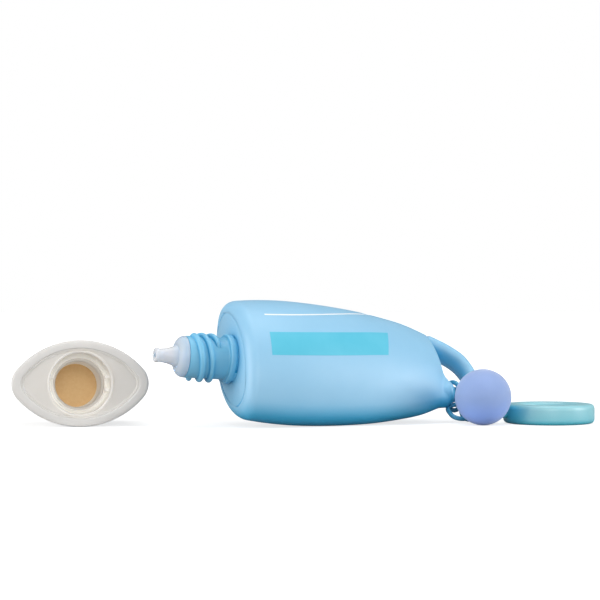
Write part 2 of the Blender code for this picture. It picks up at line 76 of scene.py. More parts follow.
def pick(sockets, name):
    if isinstance(name, int):
        return sockets[name]
    return next(socket for socket in sockets if socket.name == name and socket.enabled)


def join(tree, source, out, target, into):
    tree.links.new(pick(source.outputs, out), pick(target.inputs, into))


def mixColors(tree, place, first=None, second=None, **settings):
    mix = addNode(tree, "ShaderNodeMix", place, data_type="RGBA", **settings)
    for name, color in (("A", first), ("B", second)):
        if color is not None:
            pick(mix.inputs, name).default_value = (*color, 1)
    return mix


def startMaterial(name):
    material = bpy.data.materials.new(name)
    material.use_nodes = True
    return material, material.node_tree, material.node_tree.nodes["Principled BSDF"]


def startGroup(name, inputs, outputs):
    group = bpy.data.node_groups.new(name, "ShaderNodeTree")
    for label, kind, value in inputs:
        socket = group.interface.new_socket(name=label, in_out="INPUT", socket_type=kind)
        if value is not None:
            socket.default_value = value
    for label, kind in outputs:
        group.interface.new_socket(name=label, in_out="OUTPUT", socket_type=kind)
    return group, addNode(group, "NodeGroupInput", (-900, 0)), addNode(group, "NodeGroupOutput", (700, 0))


# moulded plastic: cloudy colour, handling marks in the gloss and a fine tool texture
texture = {"marksPerCloud": 2.3, "height": 0.0001,  # the tool texture's height, in metres
           # painted shading in hollows: it is full below the first share of open air and gone above the
           # second
           "paintedShadingAir": (0.25, 0.86),  # share of open air: the hollow's tone is full below, gone above
           "edgeBend": (0.53, 0.62)}  # pointiness at which an edge starts to pale, and is palest


def makeMouldedGroup():
    group, start, end = startGroup(
        "mouldedPlastic",
        (("Vector", "NodeSocketVector", None), ("Deep", "NodeSocketColor", None),
         ("Light", "NodeSocketColor", None), ("Cloud Scale", "NodeSocketFloat", 60.0),
         ("Grain Scale", "NodeSocketFloat", 4000.0), ("Grain Amount", "NodeSocketFloat", 0.5),
         ("Gloss Rough", "NodeSocketFloat", 0.35), ("Matt Rough", "NodeSocketFloat", 0.5)),
        (("Color", "NodeSocketColor"), ("Roughness", "NodeSocketFloat"), ("Height", "NodeSocketFloat")))
    cloud = addNode(group, "ShaderNodeTexNoise", (-600, 250), {"Detail": 3.0, "Roughness": 0.55})
    marks = addNode(group, "ShaderNodeTexNoise", (-600, 0),
                    {"Detail": 5.0, "Roughness": 0.65, "Distortion": 1.2})
    grain = addNode(group, "ShaderNodeTexNoise", (-600, -250), {"Detail": 2.0, "Roughness": 0.6})
    finer = addNode(group, "ShaderNodeMath", (-780, 0), {1: texture["marksPerCloud"]}, operation="MULTIPLY")
    spread = addNode(group, "ShaderNodeMapRange", (0, 250), {"From Min": 0.3, "From Max": 0.7})
    shade = mixColors(group, (300, 250))
    worn = addNode(group, "ShaderNodeMapRange", (0, 0), {"From Min": 0.35, "From Max": 0.7})
    rough = addNode(group, "ShaderNodeMapRange", (300, 0))
    height = addNode(group, "ShaderNodeMath", (300, -250), operation="MULTIPLY")
    for noise in (cloud, marks, grain):
        join(group, start, "Vector", noise, "Vector")
    join(group, start, "Cloud Scale", cloud, "Scale")
    join(group, start, "Cloud Scale", finer, 0)
    join(group, finer, 0, marks, "Scale")
    join(group, start, "Grain Scale", grain, "Scale")
    join(group, cloud, "Fac", spread, "Value")
    join(group, spread, "Result", shade, "Factor")
    join(group, start, "Deep", shade, "A")
    join(group, start, "Light", shade, "B")
    join(group, shade, "Result", end, "Color")
    join(group, marks, "Fac", worn, "Value")
    join(group, worn, "Result", rough, "Value")
    join(group, start, "Gloss Rough", rough, "To Min")
    join(group, start, "Matt Rough", rough, "To Max")
    join(group, rough, "Result", end, "Roughness")
    join(group, grain, "Fac", height, 0)
    join(group, start, "Grain Amount", height, 1)
    join(group, height, 0, end, "Height")
    return group


mouldedGroup = makeMouldedGroup()

# finishes: two shades of each plastic, its gloss, how much light passes into it, and for some a painted shade
# or light tone in hollows, a painted glow and painted pale edges (cloud and grain are scales per metre; depth
# and the reach of the painted hollow shading are in metres)
finishes = {
    "bottleBlue": {"deep": (0.265, 0.548, 0.772), "light": (0.290, 0.573, 0.797), "gloss": 0.44, "matt": 0.54,
                   "cloud": 55.0, "grain": 3800.0, "amount": 0.5, "bump": 0.10, "subsurface": 0.15,
                   "radius": (0.6, 0.9, 1.0), "depth": 0.001, "ior": 1.5, "specular": 0.9,
                   # painted shade: a deeper, more saturated blue in hollows and near the floor
                   "paintedHollowShading": (0.025, 0.410, 0.690), "paintedShadingReach": 0.016},
    "printTeal": {"deep": (0.095, 0.520, 0.700), "light": (0.120, 0.555, 0.735), "gloss": 0.36, "matt": 0.46,
                  "cloud": 90.0, "grain": 3800.0, "amount": 0.5, "bump": 0.08, "subsurface": 0.0,
                  "radius": (1.0, 1.0, 1.0), "depth": 0.001, "ior": 1.48},
    "printWhite": {"deep": (0.900, 0.925, 0.950), "light": (0.940, 0.955, 0.970), "gloss": 0.36, "matt": 0.46,
                   "cloud": 90.0, "grain": 3800.0, "amount": 0.5, "bump": 0.08, "subsurface": 0.0,
                   "radius": (1.0, 1.0, 1.0), "depth": 0.001, "ior": 1.48},
    "nozzleMilk": {"deep": (0.900, 0.900, 0.925), "light": (0.945, 0.940, 0.955), "gloss": 0.18, "matt": 0.26,
                   "cloud": 180.0, "grain": 5200.0, "amount": 0.4, "bump": 0.05, "subsurface": 0.6,
                   "radius": (1.0, 1.0, 1.0), "depth": 0.002, "ior": 1.36, "transmission": 0.3,
                   # painted light: a bluer tone next to the neck, standing in for the blue neck seen through
                   # the plug
                   "paintedHollowShading": (0.520, 0.740, 0.950), "paintedShadingReach": 0.006},
    "capWhite": {"deep": (0.665, 0.650, 0.630), "light": (0.700, 0.686, 0.668), "gloss": 0.30, "matt": 0.38,
                 "cloud": 90.0, "grain": 4600.0, "amount": 0.4, "bump": 0.05, "subsurface": 0.6,
                 "radius": (1.0, 0.95, 0.9), "depth": 0.002, "ior": 1.46,
                 # painted light: a paler tone in hollows, standing in for light that comes through the thin
                 # walls and bounces between them
                 "paintedHollowShading": (0.950, 0.925, 0.890), "paintedShadingReach": 0.006},
    "capIvory": {"deep": (0.700, 0.675, 0.636), "light": (0.735, 0.710, 0.675), "gloss": 0.31, "matt": 0.42,
                 "cloud": 110.0, "grain": 4600.0, "amount": 0.4, "bump": 0.05, "subsurface": 0.9,
                 "radius": (1.0, 0.97, 0.93), "depth": 0.0025, "ior": 1.46,
                 # painted light: a paler tone and a faint painted glow in hollows, standing in for light
                 # bounced inside and passed through the thin walls, and sharp edges painted paler
                 "paintedHollowShading": (0.975, 0.935, 0.870), "paintedShadingReach": 0.014, "glow": 0.130,
                 "paintedEdgeLight": (0.93, 0.915, 0.895)},
    "chainBlue": {"deep": (0.050, 0.300, 0.500), "light": (0.080, 0.370, 0.580), "gloss": 0.29, "matt": 0.40,
                  "cloud": 240.0, "grain": 5200.0, "amount": 0.4, "bump": 0.05, "subsurface": 0.1,
                  "radius": (0.6, 1.0, 1.4), "depth": 0.0006, "ior": 1.48},
    "ballLilac": {"deep": (0.250, 0.365, 0.670), "light": (0.280, 0.395, 0.705), "gloss": 0.62, "matt": 0.74,
                  "cloud": 120.0, "grain": 5200.0, "amount": 0.6, "bump": 0.12, "subsurface": 0.1,
                  "radius": (0.8, 0.8, 1.2), "depth": 0.001, "ior": 1.45, "specular": 0.6,
                  # painted shade: a bluer tone on the underside near the floor and near the links
                  "sheen": 0.45, "paintedHollowShading": (0.260, 0.430, 0.950), "paintedShadingReach": 0.016},
    "ringAqua": {"deep": (0.275, 0.600, 0.675), "light": (0.305, 0.635, 0.710), "gloss": 0.36, "matt": 0.46,
                 "cloud": 110.0, "grain": 5000.0, "amount": 0.5, "bump": 0.08, "subsurface": 0.15,
                 "radius": (0.6, 1.0, 1.1), "depth": 0.001, "ior": 1.48, "specular": 1.0,
                 # painted shadow: a deep teal in hollows and next to the ball, where the ball's shadow falls
                 "paintedHollowShading": (0.060, 0.490, 0.620), "paintedShadingReach": 0.010},
}


# painted shade and light: where other surfaces lie near, the floor and other parts included, the colour
# shifts towards a set tone that stands in for the light the walls around a hollow bounce in, and on some
# pieces a painted glow stands in for light through thin walls
def addPaintedHollowShading(tree, shader, moulded, recipe):
    air = addNode(tree, "ShaderNodeAmbientOcclusion", (-200, 350), {"Distance": recipe["paintedShadingReach"]},
                  samples=8)
    low, high = texture["paintedShadingAir"]
    share = addNode(tree, "ShaderNodeMapRange", (0, 350), {"From Min": low, "From Max": high})
    tone = mixColors(tree, (200, 250), first=recipe["paintedHollowShading"])
    join(tree, air, "AO", share, "Value")
    join(tree, share, "Result", tone, "Factor")
    join(tree, moulded, "Color", tone, "B")
    join(tree, tone, "Result", shader, "Base Color")
    if "glow" in recipe:
        glow = mixColors(tree, (200, 450), recipe["paintedHollowShading"], (0, 0, 0))
        join(tree, share, "Result", glow, "Factor")
        join(tree, glow, "Result", shader, "Emission Color")
        shader.inputs["Emission Strength"].default_value = recipe["glow"]


# painted light: sharp edges are painted paler, standing in for the light that passes through thin edges and
# catches along them
def addPaintedEdgeLight(tree, shader, color):
    shape = addNode(tree, "ShaderNodeNewGeometry", (0, 650))
    low, high = texture["edgeBend"]
    edge = addNode(tree, "ShaderNodeMapRange", (200, 650), {"From Min": low, "From Max": high})
    pale = mixColors(tree, (400, 600), second=color)
    join(tree, shape, "Pointiness", edge, "Value")
    join(tree, edge, "Result", pale, "Factor")
    tree.links.new(shader.inputs["Base Color"].links[0].from_socket, pick(pale.inputs, "A"))
    join(tree, pale, "Result", shader, "Base Color")


def makeFinish(name, recipe):
    material, tree, shader = startMaterial(name)
    shader.location = (500, 0)
    place = addNode(tree, "ShaderNodeTexCoord", (-500, 0))
    moulded = addNode(tree, "ShaderNodeGroup", (-200, 0), node_tree=mouldedGroup)
    for label, key in (("Cloud Scale", "cloud"), ("Grain Scale", "grain"), ("Grain Amount", "amount"),
                       ("Gloss Rough", "gloss"), ("Matt Rough", "matt")):
        moulded.inputs[label].default_value = recipe[key]
    moulded.inputs["Deep"].default_value = (*recipe["deep"], 1)
    moulded.inputs["Light"].default_value = (*recipe["light"], 1)
    bump = addNode(tree, "ShaderNodeBump", (200, -250),
                   {"Strength": recipe["bump"], "Distance": texture["height"]})
    join(tree, place, "Object", moulded, "Vector")
    join(tree, moulded, "Color", shader, "Base Color")
    join(tree, moulded, "Roughness", shader, "Roughness")
    join(tree, moulded, "Height", bump, "Height")
    join(tree, bump, "Normal", shader, "Normal")
    if "paintedHollowShading" in recipe:
        addPaintedHollowShading(tree, shader, moulded, recipe)
    if "paintedEdgeLight" in recipe:
        addPaintedEdgeLight(tree, shader, recipe["paintedEdgeLight"])
    shader.inputs["IOR"].default_value = recipe["ior"]
    shader.inputs["Subsurface Weight"].default_value = recipe["subsurface"]
    shader.inputs["Subsurface Radius"].default_value = recipe["radius"]
    shader.inputs["Subsurface Scale"].default_value = recipe["depth"]
    shader.inputs["Transmission Weight"].default_value = recipe.get("transmission", 0.0)
    shader.inputs["Specular IOR Level"].default_value = recipe.get("specular", 0.5)
    shader.inputs["Sheen Weight"].default_value = recipe.get("sheen", 0.0)
    return material


# pressed liner: tan board with short fibres and dark flecks
linerFinish = {"deep": (0.850, 0.555, 0.262), "light": (0.960, 0.685, 0.365), "fleck": (0.420, 0.260, 0.120),
               "fibre": 900.0, "pulp": 2600.0, "fleckReach": 0.16, "fleckShare": 0.6, "rough": 0.85,
               "bump": 0.35}


def makeLinerFinish(recipe):
    material, tree, shader = startMaterial("linerTan")
    place = addNode(tree, "ShaderNodeTexCoord", (-1000, 0))
    stretch = addNode(tree, "ShaderNodeMapping", (-800, 0), {"Scale": (1.0, 0.35, 1.0)})
    fibre = addNode(tree, "ShaderNodeTexNoise", (-600, 200), {"Scale": recipe["fibre"], "Detail": 6.0})
    pulp = addNode(tree, "ShaderNodeTexVoronoi", (-600, -100), {"Scale": recipe["pulp"]})
    tone = mixColors(tree, (-300, 200), recipe["deep"], recipe["light"])
    spots = addNode(tree, "ShaderNodeMapRange", (-300, -100),
                    {"From Max": recipe["fleckReach"], "To Min": recipe["fleckShare"], "To Max": 0.0})
    fleck = mixColors(tree, (-80, 200), second=recipe["fleck"])
    bump = addNode(tree, "ShaderNodeBump", (-80, -200),
                   {"Strength": recipe["bump"], "Distance": texture["height"]})
    join(tree, place, "Object", stretch, "Vector")
    join(tree, stretch, "Vector", fibre, "Vector")
    join(tree, place, "Object", pulp, "Vector")
    join(tree, fibre, "Fac", tone, "Factor")
    join(tree, pulp, "Distance", spots, "Value")
    join(tree, spots, "Result", fleck, "Factor")
    join(tree, tone, "Result", fleck, "A")
    join(tree, fleck, "Result", shader, "Base Color")
    join(tree, fibre, "Fac", bump, "Height")
    join(tree, bump, "Normal", shader, "Normal")
    shader.inputs["Roughness"].default_value = recipe["rough"]
    return material


finish = {name: makeFinish(name, recipe) for name, recipe in finishes.items()}
finish["linerTan"] = makeLinerFinish(linerFinish)
print("finishes made,", len(finish))


# mesh helpers, and how finely the curves that several pieces share are cut
detail = {"tipSteps": 12, "flankSteps": 24, "filletSteps": 10, "cornerSteps": 4}
smoothUpTo = math.radians(40)


def addPiece(name, bm, material, place=None):
    bmesh.ops.recalc_face_normals(bm, faces=bm.faces)
    mesh = bpy.data.meshes.new(name)
    bm.to_mesh(mesh)
    bm.free()
    if place is not None:
        mesh.transform(place)
    mesh.shade_smooth()
    mesh.set_sharp_from_angle(angle=smoothUpTo)
    mesh.materials.append(material)
    piece = bpy.data.objects.new(name, mesh)
    bpy.context.scene.collection.objects.link(piece)
    return piece


def skin(bm, rings, closed=False):
    rows = [[bm.verts.new(point) for point in ring] for ring in rings]
    pairs = list(zip(rows, rows[1:]))
    if closed:
        pairs.append((rows[-1], rows[0]))
    else:
        bm.faces.new(rows[0][::-1])
        bm.faces.new(rows[-1])
    for low, high in pairs:
        for k in range(len(low)):
            j = (k + 1) % len(low)
            bm.faces.new((low[k], low[j], high[j], high[k]))


def circle(radius, sides):
    turns = [2 * math.pi * k / sides for k in range(sides)]
    return [(radius * math.cos(turn), radius * math.sin(turn)) for turn in turns]


def level(outline, height):
    return [Vector((x, y, height)) for x, y in outline]


# a lens outline: two wide arcs for the flanks, joined by a small round tip at each end
def lensArcs(halfWidth, halfDepth, tipRadius):
    rise = halfDepth - tipRadius
    reach = halfWidth - tipRadius
    flankRadius = (reach ** 2 + halfDepth ** 2 - tipRadius ** 2) / (2 * rise)
    drop = flankRadius - halfDepth
    return reach, flankRadius, drop, math.pi / 2 - math.atan2(reach, drop)


def lens(halfWidth, halfDepth, tipRadius):
    reach, flankRadius, drop, turn = lensArcs(halfWidth, halfDepth, tipRadius)
    tips, flanks = detail["tipSteps"], detail["flankSteps"]
    quarter = []
    for k in range(tips):
        angle = turn * k / tips
        quarter.append((reach + tipRadius * math.cos(angle), tipRadius * math.sin(angle)))
    for k in range(flanks):
        angle = turn + (math.pi / 2 - turn) * k / flanks
        quarter.append((flankRadius * math.cos(angle), flankRadius * math.sin(angle) - drop))
    upper = quarter + [(0, halfDepth)] + [(-x, y) for x, y in quarter[:0:-1]] + [(-halfWidth, 0)]
    return upper + [(x, -y) for x, y in upper[-2:0:-1]]


lensCount = 4 * (detail["tipSteps"] + detail["flankSteps"])


def smoothCurve(places, values, at):
    slopes = np.gradient(values, places)
    k = int(np.clip(np.searchsorted(places, at) - 1, 0, len(places) - 2))
    step = places[k + 1] - places[k]
    t = (at - places[k]) / step
    start = (1 + 2 * t) * (1 - t) ** 2 * values[k] + t * (1 - t) ** 2 * step * slopes[k]
    end = t * t * (3 - 2 * t) * values[k + 1] + t * t * (t - 1) * step * slopes[k + 1]
    return float(start + end)


def quarterRound(radius, steps):
    turns = [math.pi / 2 * k / steps for k in range(steps + 1)]
    return [(radius * (1 - math.cos(t)), radius * (1 - math.sin(t))) for t in turns]


# corners are (x, y, radius of the rounding)
def roundCorners(corners, steps=5, closed=True):
    points = []
    count = len(corners)
    for k, (x, y, radius) in enumerate(corners):
        here = Vector((x, y))
        if radius == 0 or (not closed and k in (0, count - 1)):
            points.append(here)
            continue
        before = Vector(corners[k - 1][:2]) - here
        after = Vector(corners[(k + 1) % count][:2]) - here
        back = radius / math.tan(before.angle(after) / 2)
        back = min(back, 0.49 * before.length, 0.49 * after.length)
        start = here + before.normalized() * back
        end = here + after.normalized() * back
        for j in range(steps + 1):
            t = j / steps
            points.append(start * (1 - t) ** 2 + here * 2 * t * (1 - t) + end * t ** 2)
    return points


def turned(profile, sides):
    return [level(circle(radius, sides), height) for radius, height in profile]


# a bar with an oval section that follows a row of centres
def bar(bm, centres, across, halves, depths, sides, closed=False):
    rings = []
    for k, centre in enumerate(centres):
        if closed:
            ahead = centres[(k + 1) % len(centres)] - centres[k - 1]
        else:
            ahead = centres[min(k + 1, len(centres) - 1)] - centres[max(k - 1, 0)]
        inward = across.cross(ahead).normalized()
        rings.append([centre + inward * x * halves[k] + across * y * depths[k]
                      for x, y in circle(1, sides)])
    skin(bm, rings, closed)


def joinSolids(piece, tools):
    for tool in tools:
        union = piece.modifiers.new(tool.name, "BOOLEAN")
        union.operation = "UNION"
        union.solver = "EXACT"
        union.object = tool
    bpy.context.view_layer.update()
    graph = bpy.context.evaluated_depsgraph_get()
    result = bpy.data.meshes.new_from_object(piece.evaluated_get(graph))
    piece.modifiers.clear()
    old = piece.data
    piece.data = result
    result.name = piece.name
    bpy.data.meshes.remove(old)
    for tool in tools:
        bpy.data.objects.remove(tool, do_unlink=True)
    piece.data.shade_smooth()
    piece.data.set_sharp_from_angle(angle=smoothUpTo)


# where the bottle and the cap lie
bottlePose = {"yaw": 22.1, "pitch": 3.6, "roll": 42.6, "at": (-0.02606, -0.01228, 0.02411)}
capPose = {"yaw": 11.0, "draft": 4.0, "at": (-0.07955, -0.01698, 0.01557)}


def bottlePlace(pose):
    yaw, pitch, roll = (math.radians(pose[key]) for key in ("yaw", "pitch", "roll"))
    along = Vector((math.cos(yaw) * math.cos(pitch), math.sin(yaw) * math.cos(pitch), -math.sin(pitch)))
    upright = (Vector((0, 0, 1)) + along * math.sin(pitch)).normalized()
    away = Vector((-math.sin(yaw), math.cos(yaw), 0))
    wide = upright * math.cos(roll) + away * math.sin(roll)
    broad = upright * math.sin(roll) - away * math.cos(roll)
    return Matrix.Translation(pose["at"]) @ Matrix((wide, -broad, -along)).transposed().to_4x4()


def capPlace(pose):
    yaw, draft = math.radians(pose["yaw"]), math.radians(pose["draft"])
    out = Vector((math.sin(yaw) * math.cos(draft), -math.cos(yaw) * math.cos(draft), math.sin(draft)))
    wide = Vector((math.cos(yaw), math.sin(yaw), 0))
    return Matrix.Translation(pose["at"]) @ Matrix((wide, out.cross(wide), out)).transposed().to_4x4()


bottleMatrix = bottlePlace(bottlePose)
capMatrix = capPlace(capPose)

# body of the bottle: lens sections from the end face to the tail
body = {"length": 0.0821, "halfWidth": 0.0250, "halfDepth": 0.0169, "wall": 0.0011, "faceWall": 0.0014,
        "tailBlock": 0.0070, "faceFillet": 0.0042, "tailFillet": 0.0012, "tipShare": 0.52,
        "at": (0, 0.125, 0.25, 0.375, 0.5, 0.627, 0.752, 0.877, 0.972, 1),
        "width": (1, 1.056, 1.082, 1.075, 1.048, 1.002, 0.927, 0.824, 0.694, 0.660),
        "depth": (1, 1.050, 1.058, 1.028, 0.970, 0.888, 0.767, 0.604, 0.424, 0.320),
        "rings": 72, "ringSpread": 1.3, "endShares": (0.88, 0.76, 0.62, 0.46, 0.28, 0.1),
        "groove": (0.0196, 0.0126, 0.0092), "grooveWidth": 0.0007, "grooveDepth": 0.0003, "grooveSteps": 8,
        "insideSteps": 24, "insideFilletSteps": 6}
neck = {"bore": 0.0055, "radius": 0.0075, "height": 0.0178, "edge": 0.0003, "stub": 0.0080, "collar": 0.0089,
        "collarBottom": 0.0008, "collarTop": 0.0029, "threadRadius": 0.0089, "lead": 0.0071, "base": 0.0020,
        "starts": 2, "startAngle": -104, "runOut": 22, "taper": 0.4, "steps": 130,
        "sunk": 0.0004, "lugLength": 0.0045, "lugAngle": 180, "lugInset": 0.0001, "lugSteps": 8,
        # painted shade: beyond the face, the neck's colour is multiplied by this tone, where the neck lies in
        # shade
        "shade": {"tone": (0.62, 0.91, 0.95), "from": 0.0002, "to": 0.0030}}
# a screw ridge: radii of its root and crest, how far it stands out at its ends (toe), where it starts,
# its turns, the steps across it, and the power that rounds its section (the lower, the fuller)
thread = {"root": neck["radius"] - neck["sunk"], "crest": neck["threadRadius"], "toe": 0.0003,
          "start": 0.0069, "turns": 1.19, "across": 12, "power": 0.55}
loop = {"reach": 0.0120, "span": 0.0245, "low": 0.0118, "radius": 0.0028, "steps": 150, "sides": 40,
        "leadIn": 0.05, "leadShare": 0.55, "blend": 0.0050, "hollowShare": 0.29, "sunkFade": 0.0005,
        "sideFade": 0.006, "tailFade": 0.003, "tailReach": 0.02,
        "soften": 0.0019, "softenReach": 0.004, "softenTurns": 12,
        "reachShares": (-0.289, 0.085, 0.437, 0.806, 0.994, 1.083, 0.92, 0.578, 0.333, 0.21, 0.084, -0.338),
        "spanShares": (1.038, 0.940, 0.841, 0.687, 0.532, 0.331, 0.135, 0.022, 0.003, 0, 0, 0),
        "radiusShares": (1.12, 1.09, 1.03, 1, 1, 1, 1, 1, 1, 1.03, 1.18, 1.4),
        "depthShares": (1.72, 1.68, 1.64, 1.61, 1.52, 1.36, 1.16, 1.04, 1.02, 1.10, 1.38, 1.6)}


def bodySection(at, inset):
    share = at / body["length"]
    width = body["halfWidth"] * smoothCurve(body["at"], body["width"], share)
    depth = body["halfDepth"] * smoothCurve(body["at"], body["depth"], share)
    return lens(width - inset, depth - inset, depth * body["tipShare"] - inset)


def bodyInside():
    far = body["length"] - body["tailBlock"]
    fillet = body["faceFillet"] - body["wall"]
    near = body["faceWall"] + fillet
    rings = [level(bodySection(far, body["wall"] + body["tailFillet"]), -far)]
    for k in range(body["insideSteps"] + 1):
        at = far - body["tailFillet"] + (near - far + body["tailFillet"]) * k / body["insideSteps"]
        rings.append(level(bodySection(at, body["wall"]), -at))
    for back, inset in quarterRound(fillet, body["insideFilletSteps"])[-2::-1]:
        at = body["faceWall"] + back
        rings.append(level(bodySection(at, body["wall"] + inset), -at))
    return rings + turned([(neck["bore"], -body["faceWall"])], lensCount)


def neckOutside():
    edge = neck["edge"]
    corners = [(neck["bore"], neck["height"], 0), (neck["bore"] + edge, neck["height"], edge),
               (neck["radius"], neck["height"], edge * 2), (neck["radius"], neck["collarTop"], edge * 2),
               (neck["collar"], neck["collarTop"], edge * 3), (neck["collar"], neck["collarBottom"], edge),
               (neck["stub"], neck["collarBottom"], edge), (neck["stub"], 0, edge),
               (neck["stub"] + edge * 2, 0, 0)]
    return turned(roundCorners(corners, detail["cornerSteps"], closed=False), lensCount)


def faceAndFlank():
    width, depth, tip = body["groove"]
    half = body["grooveWidth"] / 2
    rings = []
    for k in range(body["grooveSteps"] + 1):
        t = k / body["grooveSteps"]
        grow = half * (2 * t - 1)
        sunk = -body["grooveDepth"] * (1 - math.cos(2 * math.pi * t)) / 2
        rings.append(level(lens(width + grow, depth + grow, tip + grow), sunk))
    steps = detail["filletSteps"]
    for back, inset in quarterRound(body["faceFillet"], steps):
        rings.append(level(bodySection(back, inset), -back))
    far = body["length"] - body["tailFillet"]
    for k in range(1, body["rings"] + 1):
        at = far - (far - body["faceFillet"]) * (1 - k / body["rings"]) ** body["ringSpread"]
        rings.append(level(bodySection(at, 0), -at))
    for back, inset in quarterRound(body["tailFillet"], steps)[-2::-1]:
        at = body["length"] - back
        rings.append(level(bodySection(at, inset), -at))
    last = bodySection(body["length"], body["tailFillet"])
    return rings + [level([(x * share, y * share) for x, y in last], -body["length"])
                    for share in body["endShares"]]


# way is 1 for a ridge that winds out along the neck, -1 for one that winds into the socket
def screwRidge(bm, ridge, startAngle, way):
    total = 2 * math.pi * ridge["turns"]
    runOut = math.radians(neck["runOut"])
    root, toe = ridge["root"], ridge["toe"]
    rings = []
    for k in range(neck["steps"] + 1):
        turn = total * k / neck["steps"]
        full = math.sin(min(1, turn / runOut, (total - turn) / runOut) * math.pi / 2)
        crest = root + toe + (ridge["crest"] - root - toe) * full
        height = ridge["start"] + neck["lead"] * turn / (2 * math.pi)
        half = neck["base"] / 2 * (1 - neck["taper"] + neck["taper"] * full)
        out = Vector((math.cos(startAngle + way * turn), math.sin(startAngle + way * turn), 0))
        ring = []
        for j in range(ridge["across"] + 1):
            t = math.pi * j / ridge["across"]
            reach = root + (crest - root) * math.sin(t) ** ridge["power"]
            ring.append(out * reach + Vector((0, 0, way * (height - half * math.cos(t)))))
        rings.append(ring)
    skin(bm, rings)


def startAngles(first):
    return [math.radians(first + 360 * number / neck["starts"]) for number in range(neck["starts"])]


def bothRidges(bm):
    for angle in startAngles(neck["startAngle"]):
        screwRidge(bm, thread, angle, 1)


def stopLug(bm):
    half = neck["lugLength"] / (2 * neck["collar"])
    inner, outer = neck["stub"] - neck["sunk"], neck["collar"] - neck["lugInset"]
    low, high = -neck["sunk"], neck["collarBottom"] + neck["sunk"]
    rings = []
    for k in range(neck["lugSteps"] + 1):
        turn = math.radians(neck["lugAngle"]) - half + 2 * half * k / neck["lugSteps"]
        out = Vector((math.cos(turn), math.sin(turn), 0))
        rings.append([out * r + Vector((0, 0, z))
                      for r, z in ((inner, low), (outer, low), (outer, high), (inner, high))])
    skin(bm, rings)


def loopPoint(place):
    stations = np.linspace(0, 1, len(loop["reachShares"]))
    along = body["length"] + loop["reach"] * smoothCurve(stations, loop["reachShares"], place)
    across = loop["span"] * smoothCurve(stations, loop["spanShares"], place) - loop["low"]
    return Vector((across, 0, -along))


def loopBar(bm):
    stations = np.linspace(0, 1, len(loop["reachShares"]))
    places = [k / loop["steps"] for k in range(loop["steps"] + 1)]
    centres = [loopPoint(place) for place in places]
    thin = loop["leadShare"]
    grown = [loop["radius"] * (thin + (1 - thin) * min(1, place / loop["leadIn"])) for place in places]
    halves, depths = ([grow * smoothCurve(stations, loop[key], place) for grow, place in zip(grown, places)]
                      for key in ("radiusShares", "depthShares"))
    bar(bm, centres, Vector((0, 1, 0)), halves, depths, loop["sides"])
    bmesh.ops.recalc_face_normals(bm, faces=bm.faces)


# raise each surface where it nears the other, so that the two meet in a hollow curve
def blendSurfaces(verts, tree, share):
    blend, deepest = loop["blend"], loop["hollowShare"] * loop["blend"]
    moves = []
    for vert in verts:
        near, normal, _, distance = tree.find_nearest(vert.co)
        if (vert.co - near).dot(normal) < 0:
            raised = deepest * max(0, 1 - distance / loop["sunkFade"])
        else:
            span = max(0, blend - distance)
            raised = min(deepest, blend - math.sqrt(blend ** 2 - span ** 2))
        moves.append((vert, vert.normal * raised * share(vert.co)))
    return moves


# smooth the seam that joining the loop's low end to the body leaves
def softenJoint(mesh, trees):
    bm = bmesh.new()
    bm.from_mesh(mesh)
    near = [vert for vert in bm.verts if vert.co.x < 0 and vert.co.z < loop["softenReach"] - body["length"]
            and all(tree.find_nearest(vert.co)[3] < loop["soften"] for tree in trees)]
    for _ in range(loop["softenTurns"]):
        bmesh.ops.smooth_vert(bm, verts=near, factor=0.5, use_axis_x=True, use_axis_y=True, use_axis_z=True)
    bm.to_mesh(mesh)
    bm.free()


# painted shade: one colour times a tone that sets in between two heights on the neck's axis, standing in for
# the shade on the neck and the blue neck seen through the plug
def paintShadeAlongNeck(material, recipe):
    tree = material.node_tree
    shader = tree.nodes["Principled BSDF"]
    above = bottleMatrix.inverted()
    place = addNode(tree, "ShaderNodeTexCoord", (-500, 700))
    local = addNode(tree, "ShaderNodeMapping", (-300, 700),
                    {"Location": above.to_translation(), "Rotation": above.to_euler()})
    apart = addNode(tree, "ShaderNodeSeparateXYZ", (-100, 700))
    share = addNode(tree, "ShaderNodeMapRange", (100, 700),
                    {"From Min": recipe["from"], "From Max": recipe["to"]})
    tone = mixColors(tree, (400, 500), second=recipe["tone"], blend_type="MULTIPLY")
    before = shader.inputs["Base Color"].links[0].from_socket
    join(tree, place, "Object", local, "Vector")
    join(tree, local, "Vector", apart, "Vector")
    join(tree, apart, "Z", share, "Value")
    join(tree, share, "Result", tone, "Factor")
    tree.links.new(before, pick(tone.inputs, "A"))
    join(tree, tone, "Result", shader, "Base Color")


def ramp(value):
    return min(1, max(0, value)) ** 2


